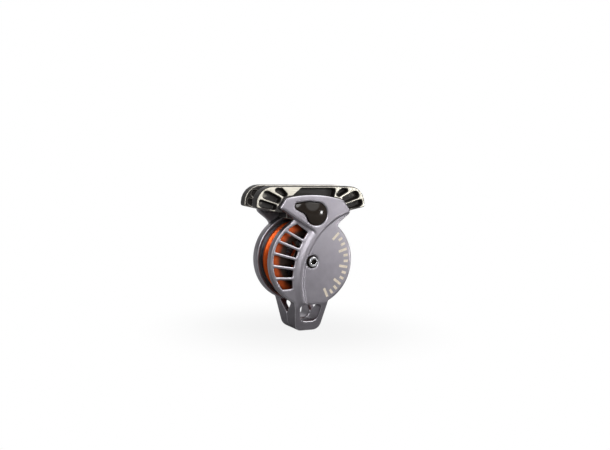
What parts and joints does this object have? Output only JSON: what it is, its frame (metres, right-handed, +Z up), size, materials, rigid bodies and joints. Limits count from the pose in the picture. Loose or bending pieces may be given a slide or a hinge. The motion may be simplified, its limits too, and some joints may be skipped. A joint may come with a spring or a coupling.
{
  "type": "belay device",
  "caption": "Assisted-braking belay device: an orange rope sheave between hinged aluminium plates, with a winged rope guide, a release button and a carabiner eye.",
  "frame": {"origin": "centre of the carabiner eye, midway between the two plates", "axes": "+X to the right of the face with the button, +Y from that face to the back, +Z up from the eye to the rope guide"},
  "size_m": [0.0892, 0.0374, 0.1073],
  "materials": {
    "plate_aluminium": "satin anodised, grey lavender",
    "guide_aluminium": "bright edges, black in the pockets",
    "sheave_aluminium": "orange anodised",
    "tread_aluminium": "dark hard anodised",
    "steel": "ground",
    "bright_steel": "plated",
    "bronze": "plain bearing",
    "button_plastic": "glossy black"
  },
  "bodies": {
    "back_half": {"back_plate": "plate_aluminium", "back_guide": "guide_aluminium", "back_guide_screws": "steel", "catch_track": "steel", "axle": "steel", "axle_screw": "bright_steel", "spacer_sleeve": "steel", "thrust_washer": "bronze", "catch_ring": "steel", "catch_ring_screws": "steel"},
    "front_half": {"front_plate": "plate_aluminium", "front_guide": "guide_aluminium", "front_guide_screws": "steel", "pivot_bush": "bronze", "button_spring": "bright_steel"},
    "wheel": {"wheel_front_flange": "sheave_aluminium", "wheel_rear_flange": "sheave_aluminium", "wheel_tread": "tread_aluminium", "wheel_bush": "bronze", "wheel_screws": "steel", "pawl_pins": "bright_steel", "pawl_springs": "bright_steel"},
    "pawl_upper": {"pawl_a": "steel"},
    "pawl_lower": {"pawl_b": "steel"},
    "button": {"release_button": "button_plastic", "latch_pin": "bright_steel"}
  },
  "joints": [
    {"name": "plate_swing", "type": "hinge", "parent": "back_half", "child": "front_half", "pos_m": [0, 0, 0.0385], "axis": [0, 1, 0], "range_deg": [0, 100]},
    {"name": "button_press", "type": "slide", "parent": "front_half", "child": "button", "axis": [0, 1, 0], "range_m": [0, 0.0025], "stiffness_N_per_m": 600, "springref_m": -0.002, "deforming": ["button_spring"]},
    {"name": "wheel_spin", "type": "hinge", "parent": "back_half", "child": "wheel", "pos_m": [0, 0, 0.0385], "axis": [0, 1, 0], "continuous": true},
    {"name": "pawl_a_swing", "type": "hinge", "parent": "wheel", "child": "pawl_upper", "pos_m": [0, 0, 0.0505], "axis": [0, 1, 0], "range_deg": [0, 17], "stiffness_Nm_per_rad": 0.02, "springref_deg": -17.19},
    {"name": "pawl_b_swing", "type": "hinge", "parent": "wheel", "child": "pawl_lower", "pos_m": [0, 0, 0.0265], "axis": [0, 1, 0], "range_deg": [0, 17], "stiffness_Nm_per_rad": 0.02, "springref_deg": -17.19}
  ]
}
